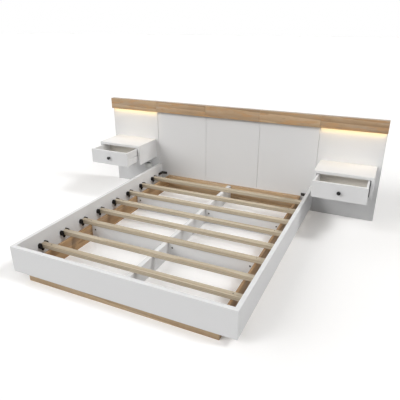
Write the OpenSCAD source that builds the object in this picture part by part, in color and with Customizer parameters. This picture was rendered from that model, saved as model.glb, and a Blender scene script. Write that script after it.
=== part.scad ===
// Low bed frame with a slatted base, a panelled headboard and two nightstands hung on it.
// Sizes are millimetres. The origin is on the floor, in the middle of the footprint.
// +X is to the right seen from the foot, +Y runs towards the head, +Z is up.

/* [Mattress] */
// Width of the mattress that lies in the frame
mattress_w = 1600; // [1400:20:1800]
// Length of the mattress
mattress_l = 2000; // [1900:20:2100]
// Free length between the mattress and the headboard
mattress_gap = 6; // [2:1:20]

/* [Rails and footboard] */
// Thickness of the side rails and the footboard
rail_t = 30; // [25:1:40]
// Height of the side rails and the footboard
rail_h = 195; // [170:5:240]
// Height of their underside above the floor
rail_clear = 58; // [40:1:75]
// Rounding on the edges of every coated board
board_edge_r = 1.5; // [0.5:0.25:2]

/* [Base] */
// How far the base boards stand back from the inside of the rails
base_inset = 85; // [80:1:180]
// Height of the base boards, up to the underside of the slats
base_h = 136; // [124:1:150]
// Thickness of the base boards and the cross panels
base_t = 18; // [16:1:22]
// How far the plinth stands back from the face of the footboard
plinth_inset = 20; // [13:1:26]
// Thickness of the centre beam
beam_t = 36; // [28:1:50]
// Slats that the two pairs of cross panels stand under, counted from the foot
cross_slats = [3, 6];

/* [Slats] */
// Number of slats
slat_count = 8; // [6:1:8]
// Width of a slat, along the bed
slat_w = 42; // [34:1:60]
// Height of a slat
slat_h = 32; // [24:1:36]
// Rounding on the long edges of a slat
slat_edge_r = 3; // [1:0.5:5]
// From the face of the footboard to the middle of the first slat
slat_start = 250; // [220:5:280]
// From the middle of the last slat to the headboard
slat_end = 200.5; // [175:0.5:260]
// Space between the end of a slat and its holder
slat_end_gap = 3; // [1:0.5:6]

/* [Slat holders] */
// Thickness of a holder's wall, behind the end of the slat
holder_t = 5; // [3:0.5:6]
// Thickness of the holder's floor, under the slat
holder_floor_t = 6; // [4:0.5:8]
// Thickness of its cheeks, before and behind the slat
holder_cheek_t = 20; // [12:0.5:24]
// How far a holder reaches out from the rail
holder_reach = 26; // [20:1:40]
// How far its cheeks stand above the slat
holder_rise = 3; // [1:0.5:6]
// Rounding on the corners of the cheeks
holder_round = 16; // [8:0.5:16.5]
// Side play of the slat in its holder
holder_play = 0.5; // [0.3:0.1:1]
// Width of the screw tab below a holder
tab_w = 22; // [18:1:30]
// Height of the screw tab
tab_h = 30; // [22:1:34]

/* [Corner braces] */
// Length of a brace's short leg
brace_w = 60; // [45:5:75]
// Space between the end of its long leg and the base
brace_gap = 3; // [2:0.5:10]
// Height of a brace
brace_h = 28; // [24:1:50]
// How far the top of a brace lies below the top of the slats
brace_drop = 1; // [0:0.5:10]
// Sheet thickness of a brace
brace_t = 4; // [3:0.5:5]

/* [Headboard] */
// Thickness of the headboard panels
panel_t = 22; // [20:1:28]
// Height of the panels, up to the underside of the wooden band
panel_h = 811; // [700:1:950]
// Width of the joint between two panels
seam_gap = 1.5; // [0.5:0.25:3]
// Height of the wooden band
band_h = 107; // [80:1:140]
// How far the band stands out from the panels
band_lip = 28; // [24:1:40]
// How far the band reaches past each end of the headboard
band_overhang = 2; // [0:1:10]
// Rounding on the edges of the band
band_edge_r = 1.5; // [0.5:0.25:3]
// Width of the battens behind the panel joints
batten_w = 90; // [70:2:120]
// Thickness of the battens
batten_t = 18; // [15:1:25]
// Space below and above a batten
batten_margin = 60; // [30:5:120]

/* [Lighting] */
// Width of the light channel under the band
channel_w = 17; // [14:0.5:19]
// Height of the channel
channel_h = 8; // [7:0.5:12]
// Wall of the channel
channel_wall = 1.2; // [0.8:0.1:1.5]
// Space between each end of the channel and the sides of its panel
channel_margin = 6; // [3:1:40]
// Thickness of the diffuser
diffuser_t = 1.5; // [1:0.1:2]
// Width of the light tape
tape_w = 8; // [5:0.5:10]
// Thickness of the light tape with its lamps
tape_t = 1.6; // [1:0.1:2.4]

/* [Sensor] */
// Diameter of the round housing below the left nightstand
sensor_d = 80; // [60:1:100]
// Height of the housing
sensor_h = 55; // [40:1:75]
// Height of its top above the floor
sensor_top = 251; // [200:1:280]
// From the inner side of the nightstand to the middle of the housing
sensor_inset = 83; // [60:1:200]
// Diameter of the dark window on top
lens_d = 48; // [30:1:54]
// Depth of the recess that holds the window
lens_t = 4; // [2:0.5:8]
// How far the window lies below the rim of its recess
lens_sink = 1; // [0.2:0.1:1.5]
// Rounding on the edges of the housing
sensor_edge_r = 6; // [2:0.5:10]
// How much of the housing is cut off flat to lie on the headboard
sensor_flat = 4; // [1:0.5:10]

/* [Nightstands] */
// Width of a nightstand
stand_w = 480; // [380:5:560]
// Depth of a nightstand
stand_d = 324; // [316:2:400]
// Height of a nightstand
stand_h = 196; // [176:1:240]
// Height of its underside above the floor
stand_z = 320; // [260:5:420]
// Width of headboard left free on each side of a nightstand
stand_margin = 36; // [20:1:80]
// Thickness of its top and bottom
stand_plate_t = 25; // [18:1:30]
// Thickness of its sides
stand_side_t = 22; // [18:1:28]
// Thickness of its back
stand_back_t = 12; // [8:1:15]

/* [Drawers] */
// How far each drawer stands open
drawer_open = 182; // [0:1:200]
// Gap on each side of the drawer front
drawer_side_gap = 2.5; // [1.5:0.1:4]
// Gap on each side of the drawer box, where the runners are
box_side_gap = 8; // [6:0.5:12]
// Gap below the drawer front
drawer_low_gap = 3; // [2:0.5:5]
// Gap above the drawer front
drawer_top_gap = 4; // [2:0.5:6]
// Thickness of the drawer front
front_t = 18; // [16:1:25]
// Free depth behind the drawer when it is shut
drawer_rear_gap = 19; // [4:1:50]
// Thickness of the drawer sides
drawer_side_t = 15; // [14:0.5:20]
// Thickness of the drawer back
drawer_back_t = 12; // [10:0.5:16]
// Thickness of the drawer bottom
drawer_bottom_t = 5; // [3:0.5:8]
// How deep the drawer bottom sits in its grooves
bottom_groove = 6; // [4:0.5:7]
// Height of the drawer bottom above the lower edge of the sides
bottom_rise = 8; // [5:1:20]
// Step from the lower edge of the front up to the sides
side_low_step = 4; // [2:1:10]
// Step from the top of the front down to the rims
rim_step = 2; // [0:0.5:8]
// Height of the runners
runner_h = 11; // [9:0.5:16]
// How deep the runners reach into the drawer sides
runner_depth = 7.5; // [5:0.5:8]
// Length of solid side left between the front and the runner groove
groove_stop = 10; // [6:1:30]

/* [Knobs] */
// Diameter of a knob
knob_d = 32; // [24:1:40]
// How far a knob stands out
knob_l = 24; // [20:1:32]
// Thickness of the knob's head
knob_head_t = 11; // [8:1:14]
// Diameter of the knob's foot
knob_foot_d = 20; // [16:1:23]
// Thickness of the knob's foot
knob_foot_t = 3; // [2:0.5:5]
// Diameter of the knob's neck
knob_neck_d = 12; // [9:1:15]
// Diameter of the stud that holds the knob
stud_d = 4; // [3:0.5:6]
// Length of the stud
stud_l = 13; // [8:1:15]

/* [Fasteners] */
// Shank diameter of the round-head screws
pan_d = 4; // [3:0.5:5]
// Head diameter of the round-head screws
pan_head_d = 8; // [7:0.5:9]
// Head height of the round-head screws
pan_head_h = 2.6; // [2:0.1:3]
// Length of screw in the last piece it holds
pan_bite = 15; // [10:0.5:15.5]
// Shank diameter of the slat screws
slat_screw_d = 5; // [4:0.5:6]
// Head diameter of the slat screws
slat_screw_head_d = 10; // [8:0.5:12]
// Length of slat screw in the base board
slat_screw_bite = 30; // [20:1:34]
// Diameter of the dowels
dowel_d = 8; // [6:0.5:10]
// Length of dowel in the thinner piece
dowel_short = 10; // [8:0.5:12]
// Length of dowel in the thicker piece
dowel_long = 20; // [12:1:24]
// Diameter of a cam lock
cam_d = 15; // [12:0.5:18]
// Depth of a cam lock
cam_h = 12; // [9:0.5:13]
// From the end of a cross panel to the middle of its cam lock
cam_edge = 32; // [24:1:40]
// From the top of a cross panel down to the middle of its cam locks
cam_drop = 41; // [38:1:70]
// Diameter of the cam's bolt
cam_bolt_d = 6; // [5:0.5:8]
// Length of the cam's bolt in the board that it grips
cam_bolt_bite = 10; // [8:0.5:12]

/* [Hidden] */

$fn = 32;

// Clearance round a pin, screw or dowel in its hole, free depth beyond its tip, and how far
// a cut runs past the face it opens
fit = 0.05;
blind = 0.5;
past = 1;
left = -1;
right = 1;

// Roundings on the boards of a drawer, and on its bottom and runners
drawer_edge_r = 1;
thin_edge_r = 0.5;

// Plan of the whole bed
bed_w = mattress_w + 2 * rail_t;
recess_l = mattress_l + mattress_gap;
overall_l = rail_t + recess_l + panel_t + batten_t;
foot_y = -overall_l / 2;
foot_in_y = foot_y + rail_t;
head_y = foot_in_y + recess_l;
back_y = overall_l / 2;

// Base: plinth at the foot, board and ledger at the head, beam in the middle
plinth_y = foot_y + plinth_inset;
base_foot_y = plinth_y + base_t;
ledger_y = head_y - base_t;
head_board_y = ledger_y - base_t;
base_w = mattress_w - 2 * base_inset;
base_in_x = base_w / 2 - base_t;
base_mid_x = base_w / 2 - base_t / 2;

// Slats
slat_x = mattress_w / 2 - holder_t - slat_end_gap;
slat_top = base_h + slat_h;
slat_pitch = (head_y - slat_end - foot_y - slat_start) / (slat_count - 1);
function slat_y(k) = foot_y + slat_start + (k - 1) * slat_pitch;
screwed_slats = [for (k = [1 : 2 : slat_count]) k];
slat_screw_cone = (slat_screw_head_d - slat_screw_d) / 2;
slat_screw_sink = 0.5;
slat_screw_rim = 0.25;

// Headboard: the three inner panels span the bed, the outer ones carry the nightstands
inner_panel_w = bed_w / 3;
outer_panel_w = stand_w + 2 * stand_margin;
outer_panel_x = bed_w / 2 + outer_panel_w / 2;
seam_xs = [-bed_w / 2, -inner_panel_w / 2, inner_panel_w / 2, bed_w / 2];
band_y = head_y - band_lip;
band_d = band_lip + panel_t;

// Lighting, in the lip of the band
channel_y = head_y - band_lip / 2;
channel_l = outer_panel_w - 2 * channel_margin;

// Nightstands
stand_x = outer_panel_x;
stand_y = head_y - stand_d;
stand_in_w = stand_w - 2 * stand_side_t;
stand_top_z = stand_z + stand_h;
stand_back_y = head_y - stand_back_t;

// Drawers, as they stand open; drawer_y is the face of the front
drawer_y = stand_y - drawer_open;
drawer_w = stand_in_w - 2 * drawer_side_gap;
drawer_l = stand_d - stand_back_t - front_t - drawer_rear_gap;
drawer_z = stand_z + stand_plate_t + drawer_low_gap;
front_h = stand_h - 2 * stand_plate_t - drawer_low_gap - drawer_top_gap;
side_z = drawer_z + side_low_step;
side_h = front_h - side_low_step - rim_step;
box_y = drawer_y + front_t;
box_back_y = box_y + drawer_l;
box_w = stand_in_w - 2 * box_side_gap;
box_in_w = box_w - 2 * drawer_side_t;
bottom_z = side_z + bottom_rise;

// Runners: the groove's upper face rides on them, and its closed end stops the shut drawer
runner_play = 0.2;
runner_clear = 0.3;
runner_end_gap = 2;
groove_h = runner_h + 2 * blind;
groove_top = side_z + side_h / 2 + groove_h / 2;
runner_y = stand_y + front_t + groove_stop + runner_clear;
runner_l = stand_back_y - runner_end_gap - runner_y;
runner_t = box_side_gap + runner_depth;
groove_d = runner_depth + blind;

// Screw sites: where the head sits, which way the shank points, what it passes through
// before it bites, and how deep the head is sunk
pan_sink = pan_head_h + 0.4;
tab_screw_z = base_h - holder_floor_t - tab_h / 2;
function on_side(sites, side) = [for (s = sites) if (s[0][0] * side > 0) s];

holder_sites = [
    for (side = [left, right], k = [1 : slat_count])
        [[side * (mattress_w / 2 - holder_t), slat_y(k), tab_screw_z], [side, 0, 0], holder_t, 0]
];
brace_l = base_inset - brace_gap;
brace_top = slat_top - brace_drop;
brace_screw_z = brace_top - brace_h / 2 - brace_t / 2;
function brace_inner_y(end) = end < 0 ? foot_in_y : head_y;
// All four braces are alike, so going round the bed the long leg comes first at each corner
function brace_leg(is_long) = is_long ? brace_l : brace_w;
brace_screw_shares = [0.4, 0.8];
rail_brace_sites = [
    for (side = [left, right], end = [-1, 1], share = brace_screw_shares)
        [[side * (mattress_w / 2 - brace_t),
            brace_inner_y(end) - end * share * brace_leg(side * end < 0),
            brace_screw_z], [side, 0, 0], brace_t, 0]
];
cross_brace_sites = [
    for (side = [left, right], end = [-1, 1], share = brace_screw_shares)
        [[side * (mattress_w / 2 - share * brace_leg(side * end > 0)),
            brace_inner_y(end) - end * brace_t,
            brace_screw_z], [0, end, 0], brace_t, 0]
];
batten_rows = [for (share = [0.1, 0.5, 0.9])
    batten_margin + share * (panel_h - 2 * batten_margin)];
batten_sites = [
    for (x = seam_xs, side = [left, right], z = batten_rows)
        [[x + side * batten_w / 4, back_y - pan_sink, z], [0, -1, 0], batten_t - pan_sink, pan_sink]
];
stand_sites = [
    for (side = [left, right], dx = [-1, 1], share = [0.25, 0.75])
        [[side * stand_x + dx * stand_in_w / 3, stand_back_y,
            stand_z + stand_plate_t + share * (stand_h - 2 * stand_plate_t)],
            [0, 1, 0], stand_back_t, 0]
];
runner_sites = [
    for (stand = [left, right], side = [left, right], share = [0.15, 0.85])
        [[stand * stand_x + side * (stand_in_w / 2 - runner_t + pan_sink),
            runner_y + share * runner_l, groove_top - runner_play - runner_h / 2],
            [side, 0, 0], runner_t - pan_sink, pan_sink]
];
ledger_screw_edge = 60;
ledger_sites = [
    for (x = [-1, -0.4, 0.4, 1] * (base_in_x - ledger_screw_edge))
        [[x, head_board_y, base_h / 2], [0, 1, 0], base_t, 0]
];

// Dowel sites: the joint's face, and the way into the thicker piece
base_dowel_sites = [
    for (x = [-base_mid_x, 0, base_mid_x])
        each [
            [[x, base_foot_y, rail_clear / 2], [0, 1, 0]],
            [[x, head_board_y, base_h * 0.25], [0, -1, 0]],
            [[x, head_board_y, base_h * 0.75], [0, -1, 0]],
        ]
];
band_dowel_sites = [
    for (i = [-2 : 2], side = [left, right])
        [[panel_x(i) + side * panel_w(i) / 4, head_y + panel_t / 2, panel_h], [0, 0, 1]]
];
stand_dowel_sites = [
    for (stand = [left, right], side = [left, right], share = [0.2, 0.8])
        let (
            x = stand * stand_x + side * (stand_w / 2 - stand_side_t / 2),
            y = stand_y + share * (stand_d - stand_back_t)
        )
        each [
            [[x, y, stand_z + stand_plate_t], [0, 0, 1]],
            [[x, y, stand_top_z - stand_plate_t], [0, 0, -1]],
        ]
];

// Cam sites: middle of the cam's face, and the way its bolt points along x; the bolt starts
// just off the middle of the cam
cam_bolt_start = 1;
cam_z = base_h - cam_drop;
cam_sites = [
    for (side = [left, right], k = cross_slats)
        let (y = slat_y(k) - base_t / 2)
        each [
            [[side * (beam_t / 2 + cam_edge), y, cam_z], -side],
            [[side * (base_in_x - cam_edge), y, cam_z], side],
        ]
];

function panel_x(i) = abs(i) < 2 ? i * inner_panel_w : sign(i) * outer_panel_x;
function panel_w(i) = abs(i) < 2 ? inner_panel_w : outer_panel_w;

// Rectangle with rounded corners, lower left corner at the origin
module soft_square(size, r) {
    translate([r, 0]) square([size[0] - 2 * r, size[1]]);
    translate([0, r]) square([size[0], size[1] - 2 * r]);
    for (x = [r, size[0] - r], y = [r, size[1] - r])
        translate([x, y]) circle(r);
}

// Board with all its edges rounded, its lowest corner at the origin
module board(size, r = board_edge_r) {
    intersection() {
        linear_extrude(size[2]) soft_square([size[0], size[1]], r);
        translate([0, size[1], 0]) rotate([90, 0, 0])
            linear_extrude(size[1]) soft_square([size[0], size[2]], r);
        rotate([90, 0, 90])
            linear_extrude(size[0]) soft_square([size[1], size[2]], r);
    }
}

// Board centred on x and reaching from y and z upwards
module board_at(x, y, z, size, r = board_edge_r) {
    translate([x - size[0] / 2, y, z]) board(size, r);
}

// Turns a child that points up so that it points along one axis
module aim(way) {
    if (way[0] != 0) rotate([0, way[0] * 90, 0]) children();
    else if (way[1] != 0) rotate([-way[1] * 90, 0, 0]) children();
    else if (way[2] < 0) rotate([180, 0, 0]) children();
    else children();
}

// Cross recess for a driver, from the top of a head at the origin upwards into it
module cross_recess(head_d) {
    reach = head_d * 0.6;
    width = head_d * 0.12;
    for (turn = [0, 90]) rotate([0, 0, turn])
        translate([-reach / 2, -width / 2, -past]) cube([reach, width, head_d * 0.2 + past]);
}

// Round-head screw, its head's seat at the origin, pointing up
module pan_screw(grip) {
    rim_h = pan_head_h * 0.4;
    difference() {
        union() {
            translate([0, 0, -pan_head_h])
                cylinder(h = pan_head_h - rim_h, d1 = pan_head_d * 0.7, d2 = pan_head_d);
            translate([0, 0, -rim_h]) cylinder(h = rim_h, d = pan_head_d);
            cylinder(h = grip + pan_bite, d = pan_d);
        }
        translate([0, 0, -pan_head_h]) cross_recess(pan_head_d);
    }
}

module pan_screws_at(sites) {
    for (s = sites) translate(s[0]) aim(s[1]) pan_screw(s[2]);
}

// Holes of the same screws, with room for sunk heads
module pan_holes(sites) {
    for (s = sites) translate(s[0]) aim(s[1]) {
        translate([0, 0, -past]) cylinder(h = s[2] + pan_bite + past + blind, d = pan_d + 2 * fit);
        if (s[3] > 0) translate([0, 0, -s[3] - past])
            cylinder(h = s[3] + past, d = pan_head_d + 2 * blind);
    }
}

// Dowels, made longer at both ends and wider all round for their holes
module dowels_at(sites, longer = 0, wider = 0) {
    for (s = sites) translate(s[0]) aim(s[1])
        translate([0, 0, -dowel_short - longer])
            cylinder(h = dowel_short + dowel_long + 2 * longer, d = dowel_d + 2 * wider);
}

module dowel_holes(sites) {
    dowels_at(sites, blind, fit);
}

// ---- Rails and footboard ----

module side_rail(side) {
    color("white") difference() {
        board_at(side * (mattress_w + rail_t) / 2, foot_in_y, rail_clear, [rail_t, recess_l, rail_h]);
        pan_holes(on_side(holder_sites, side));
        pan_holes(on_side(rail_brace_sites, side));
    }
}

module footboard() {
    color("white") difference() {
        board_at(0, foot_y, rail_clear, [bed_w, rail_t, rail_h]);
        pan_holes([for (s = cross_brace_sites) if (s[1][1] < 0) s]);
    }
}

// ---- Base ----

module foot_plinth() {
    color("BurlyWood") difference() {
        board_at(0, plinth_y, 0, [base_w, base_t, rail_clear]);
        dowel_holes(base_dowel_sites);
    }
}

module base_board(side) {
    color("BurlyWood") difference() {
        board_at(side * base_mid_x, base_foot_y, 0,
            [base_t, head_board_y - base_foot_y, base_h]);
        dowel_holes(base_dowel_sites);
        for (s = cam_sites) cam_bolt_hole(s);
        slat_screw_holes();
    }
}

module head_base_board() {
    color("BurlyWood") difference() {
        board_at(0, head_board_y, 0, [base_w, base_t, base_h]);
        dowel_holes(base_dowel_sites);
        pan_holes(ledger_sites);
    }
}

module head_ledger() {
    color("BurlyWood") difference() {
        board_at(0, ledger_y, 0, [base_w, base_t, base_h]);
        pan_holes(ledger_sites);
    }
}

module centre_beam() {
    color("white") difference() {
        board_at(0, base_foot_y, 0, [beam_t, head_board_y - base_foot_y, base_h]);
        dowel_holes(base_dowel_sites);
        for (s = cam_sites) cam_bolt_hole(s);
    }
}

// The two halves of a cross panel, left and right of the beam
module cross_panels(k) {
    half_w = base_in_x - beam_t / 2;
    color("white") difference() {
        for (side = [left, right])
            board_at(side * (beam_t + half_w) / 2, slat_y(k) - base_t / 2, 0,
                [half_w, base_t, base_h]);
        for (s = cam_sites) {
            cam_bore(s);
            cam_bolt_hole(s);
        }
    }
}

// ---- Cam fittings ----

module cam_bore(site) {
    translate(site[0]) rotate([-90, 0, 0]) translate([0, 0, -past])
        cylinder(h = cam_h + past + blind, d = cam_d + 2 * fit);
}

module cam_bolt_hole(site) {
    translate([site[0][0], site[0][1] + base_t / 2, site[0][2]]) aim([site[1], 0, 0])
        cylinder(h = cam_edge + cam_bolt_bite + blind, d = cam_bolt_d + 2 * fit);
}

// Cam with its driver slot and the notch that takes the bolt's head, and the bolt
module cam_fitting(site) {
    translate(site[0]) rotate([-90, 0, 0]) difference() {
        cylinder(h = cam_h, d = cam_d);
        cross_recess(cam_d);
        translate([0, 0, base_t / 2]) rotate([0, site[1] * 90, 0])
            cylinder(h = cam_d, d = cam_bolt_d + 2 * blind);
    }
    translate([site[0][0], site[0][1] + base_t / 2, site[0][2]]) aim([site[1], 0, 0])
        translate([0, 0, cam_bolt_start])
            cylinder(h = cam_edge + cam_bolt_bite - cam_bolt_start, d = cam_bolt_d);
}

module cam_fittings() {
    color("DimGray") for (s = cam_sites) cam_fitting(s);
}

// ---- Slats ----

module slat(k) {
    color("Wheat") difference() {
        board_at(0, slat_y(k) - slat_w / 2, base_h, [2 * slat_x, slat_w, slat_h], slat_edge_r);
        slat_screw_holes();
    }
}

// Outline of a countersunk slat screw, hanging down from the top of its slat
module slat_screw_form(rim_h, longer = 0, wider = 0) {
    shank_l = slat_h + slat_screw_bite + longer;
    shank_d = slat_screw_d + 2 * wider;
    head_d = slat_screw_head_d + 2 * wider;
    translate([0, 0, -shank_l]) cylinder(h = shank_l - slat_screw_sink, d = shank_d);
    translate([0, 0, -slat_screw_sink]) {
        cylinder(h = rim_h, d = head_d);
        translate([0, 0, -slat_screw_cone])
            cylinder(h = slat_screw_cone, d1 = shank_d, d2 = head_d);
    }
}

module at_slat_screws() {
    for (side = [left, right], k = screwed_slats)
        translate([side * base_mid_x, slat_y(k), slat_top]) children();
}

module slat_screws() {
    color("DimGray") at_slat_screws() difference() {
        slat_screw_form(slat_screw_rim);
        translate([0, 0, slat_screw_rim - slat_screw_sink]) rotate([180, 0, 0])
            cross_recess(slat_screw_head_d);
    }
}

module slat_screw_holes() {
    at_slat_screws() slat_screw_form(slat_screw_sink + past, blind, fit);
}

// Holder on the rail: a rounded block with a slot that the slat is laid into from above,
// half open behind the slat's end, and a screw tab below
module slat_holder() {
    slot_w = slat_w + 2 * holder_play;
    full_w = slot_w + 2 * holder_cheek_t;
    full_h = holder_floor_t + slat_h + holder_rise;
    tab_arc_z = tab_w / 2 - tab_h;
    translate([0, 0, -holder_floor_t]) {
        difference() {
            intersection() {
                translate([0, -full_w / 2, 0]) rotate([90, 0, 90])
                    linear_extrude(holder_reach) soft_square([full_w, full_h], holder_round);
                translate([-holder_reach, -full_w / 2, 0])
                    linear_extrude(full_h) soft_square([2 * holder_reach, full_w], holder_round / 2);
            }
            translate([holder_t, -slot_w / 2, holder_floor_t]) cube([holder_reach, slot_w, full_h]);
            translate([-past, -slot_w / 2, full_h / 2]) cube([holder_reach, slot_w, full_h]);
        }
        translate([0, -tab_w / 2, tab_arc_z]) cube([holder_t, tab_w, holder_floor_t - tab_arc_z]);
        translate([0, 0, tab_arc_z]) rotate([0, 90, 0]) cylinder(h = holder_t, d = tab_w);
    }
}

module slat_holders() {
    color("black") difference() {
        for (side = [left, right], k = [1 : slat_count])
            translate([side * mattress_w / 2, slat_y(k), base_h])
                rotate([0, 0, side > 0 ? 180 : 0]) slat_holder();
        pan_holes(holder_sites);
    }
}

// ---- Corner braces ----

// Two legs and a three-cornered web that ties them along the top; the corner is at the origin
module corner_brace() {
    end_w = brace_w * 0.2;
    translate([0, 0, -brace_t]) linear_extrude(brace_t)
        polygon([[0, 0], [brace_l, 0], [brace_l, end_w], [end_w, brace_w], [0, brace_w]]);
    translate([0, 0, -brace_h]) cube([brace_l, brace_t, brace_h]);
    translate([0, 0, -brace_h]) cube([brace_t, brace_w, brace_h]);
}

module corner_braces() {
    color("black") difference() {
        for (corner = [[left, -1, 0], [right, -1, 90], [right, 1, 180], [left, 1, 270]])
            translate([corner[0] * mattress_w / 2, brace_inner_y(corner[1]), brace_top])
                rotate([0, 0, corner[2]]) corner_brace();
        pan_holes(rail_brace_sites);
        pan_holes(cross_brace_sites);
    }
}

// ---- Small fasteners ----

module pan_screws() {
    color("Silver") {
        pan_screws_at(holder_sites);
        pan_screws_at(rail_brace_sites);
        pan_screws_at(cross_brace_sites);
        pan_screws_at(batten_sites);
        pan_screws_at(stand_sites);
        pan_screws_at(runner_sites);
        pan_screws_at(ledger_sites);
    }
}

module dowels() {
    color("Tan") {
        dowels_at(base_dowel_sites);
        dowels_at(band_dowel_sites);
        dowels_at(stand_dowel_sites);
    }
}

// ---- Headboard ----

// Panels count from -2 on the left to 2 on the right
module headboard_panel(i) {
    width = panel_w(i) - seam_gap;
    color("white") difference() {
        board_at(panel_x(i), head_y, 0, [width, panel_t, panel_h]);
        pan_holes(cross_brace_sites);
        pan_holes(batten_sites);
        pan_holes(stand_sites);
        dowel_holes(band_dowel_sites);
    }
}

module band_segment(i) {
    overhang = abs(i) < 2 ? 0 : band_overhang;
    width = panel_w(i) - seam_gap + overhang;
    color("BurlyWood") difference() {
        board_at(panel_x(i) + sign(i) * overhang / 2, band_y, panel_h, [width, band_d, band_h],
            band_edge_r);
        dowel_holes(band_dowel_sites);
        if (abs(i) == 2) light_groove(sign(i));
    }
}

module light_groove(side) {
    groove_w = channel_w + 2 * fit;
    translate([side * outer_panel_x - channel_l / 2 - fit, channel_y - groove_w / 2, panel_h - past])
        cube([channel_l + 2 * fit, groove_w, channel_h + past]);
}

module seam_battens() {
    color("BurlyWood") difference() {
        for (x = seam_xs)
            board_at(x, head_y + panel_t, batten_margin,
                [batten_w, batten_t, panel_h - 2 * batten_margin]);
        pan_holes(batten_sites);
    }
}

// ---- Lighting ----

module at_channels() {
    for (side = [left, right])
        translate([side * outer_panel_x - channel_l / 2, channel_y, panel_h]) children();
}

module led_channels() {
    inner_w = channel_w - 2 * channel_wall;
    color("Silver") at_channels() difference() {
        translate([0, -channel_w / 2, 0]) cube([channel_l, channel_w, channel_h]);
        translate([-past, -inner_w / 2, -past])
            cube([channel_l + 2 * past, inner_w, channel_h - channel_wall + past]);
    }
}

module led_tapes() {
    color("Gold") at_channels()
        translate([channel_wall, -tape_w / 2, channel_h - channel_wall - tape_t])
            cube([channel_l - 2 * channel_wall, tape_w, tape_t]);
}

module led_diffusers() {
    inner_w = channel_w - 2 * channel_wall;
    color("LightYellow") at_channels()
        translate([0, -inner_w / 2, 0]) cube([channel_l, inner_w, diffuser_t]);
}

// ---- Sensor below the left nightstand ----

sensor_x = -stand_x + stand_w / 2 - sensor_inset;
sensor_y = head_y + sensor_flat - sensor_d / 2;

module sensor_housing() {
    color("LightGray") difference() {
        translate([sensor_x, sensor_y, sensor_top - sensor_h]) rotate_extrude() {
            square([sensor_d / 2 - sensor_edge_r, sensor_h]);
            translate([0, sensor_edge_r]) square([sensor_d / 2, sensor_h - 2 * sensor_edge_r]);
            for (z = [sensor_edge_r, sensor_h - sensor_edge_r])
                translate([sensor_d / 2 - sensor_edge_r, z]) circle(sensor_edge_r);
        }
        translate([sensor_x - sensor_d, head_y, sensor_top - sensor_h - past])
            cube([2 * sensor_d, sensor_d, sensor_h + 2 * past]);
        translate([sensor_x, sensor_y, sensor_top - lens_t])
            cylinder(h = lens_t + past, d = lens_d + 2 * fit, $fn = 64);
    }
}

module sensor_lens() {
    color("DarkSlateGray") translate([sensor_x, sensor_y, sensor_top - lens_t])
        cylinder(h = lens_t - lens_sink, d = lens_d, $fn = 64);
}

// ---- Nightstands ----

module stand_plate(side, z) {
    color("white") difference() {
        board_at(side * stand_x, stand_y, z, [stand_w, stand_d, stand_plate_t]);
        dowel_holes(stand_dowel_sites);
    }
}

module stand_top(side) {
    stand_plate(side, stand_top_z - stand_plate_t);
}

module stand_bottom(side) {
    stand_plate(side, stand_z);
}

module stand_sides(side) {
    color("white") difference() {
        for (wall = [left, right])
            board_at(side * stand_x + wall * (stand_w - stand_side_t) / 2, stand_y,
                stand_z + stand_plate_t, [stand_side_t, stand_d, stand_h - 2 * stand_plate_t]);
        dowel_holes(stand_dowel_sites);
        pan_holes(runner_sites);
    }
}

module stand_back(side) {
    color("white") difference() {
        board_at(side * stand_x, stand_back_y, stand_z + stand_plate_t,
            [stand_in_w, stand_back_t, stand_h - 2 * stand_plate_t]);
        pan_holes(stand_sites);
    }
}

module drawer_runners() {
    color("LightGray") difference() {
        for (stand = [left, right], wall = [left, right])
            board_at(stand * stand_x + wall * (stand_in_w - runner_t) / 2, runner_y,
                groove_top - runner_play - runner_h, [runner_t, runner_l, runner_h], thin_edge_r);
        pan_holes(runner_sites);
    }
}

// ---- Drawers ----

// Slot that takes the edge of the drawer bottom on the front and both sides
module bottom_slot(side) {
    width = box_in_w + 2 * bottom_groove;
    translate([side * stand_x - width / 2 - fit, box_y - bottom_groove - fit, bottom_z - fit])
        cube([width + 2 * fit, drawer_l + bottom_groove + past, drawer_bottom_t + 2 * fit]);
}

module drawer_front(side) {
    color("white") difference() {
        board_at(side * stand_x, drawer_y, drawer_z, [drawer_w, front_t, front_h]);
        bottom_slot(side);
        translate([side * stand_x, drawer_y, drawer_z + front_h / 2]) rotate([-90, 0, 0])
            translate([0, 0, -past]) cylinder(h = stud_l + past + blind, d = stud_d + 2 * fit);
    }
}

module drawer_sides(side) {
    color("white") difference() {
        for (wall = [left, right])
            board_at(side * stand_x + wall * (box_w - drawer_side_t) / 2, box_y, side_z,
                [drawer_side_t, drawer_l, side_h], drawer_edge_r);
        bottom_slot(side);
        for (wall = [left, right])
            translate([side * stand_x + wall * box_w / 2 - groove_d, box_y + groove_stop,
                groove_top - groove_h])
                cube([2 * groove_d, drawer_l, groove_h]);
    }
}

module drawer_back(side) {
    color("RosyBrown")
        board_at(side * stand_x, box_back_y - drawer_back_t, bottom_z + drawer_bottom_t,
            [box_in_w, drawer_back_t, side_z + side_h - bottom_z - drawer_bottom_t],
            drawer_edge_r);
}

module drawer_bottom(side) {
    color("RosyBrown")
        board_at(side * stand_x, box_y - bottom_groove, bottom_z,
            [box_in_w + 2 * bottom_groove, drawer_l + bottom_groove, drawer_bottom_t],
            thin_edge_r);
}

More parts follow.
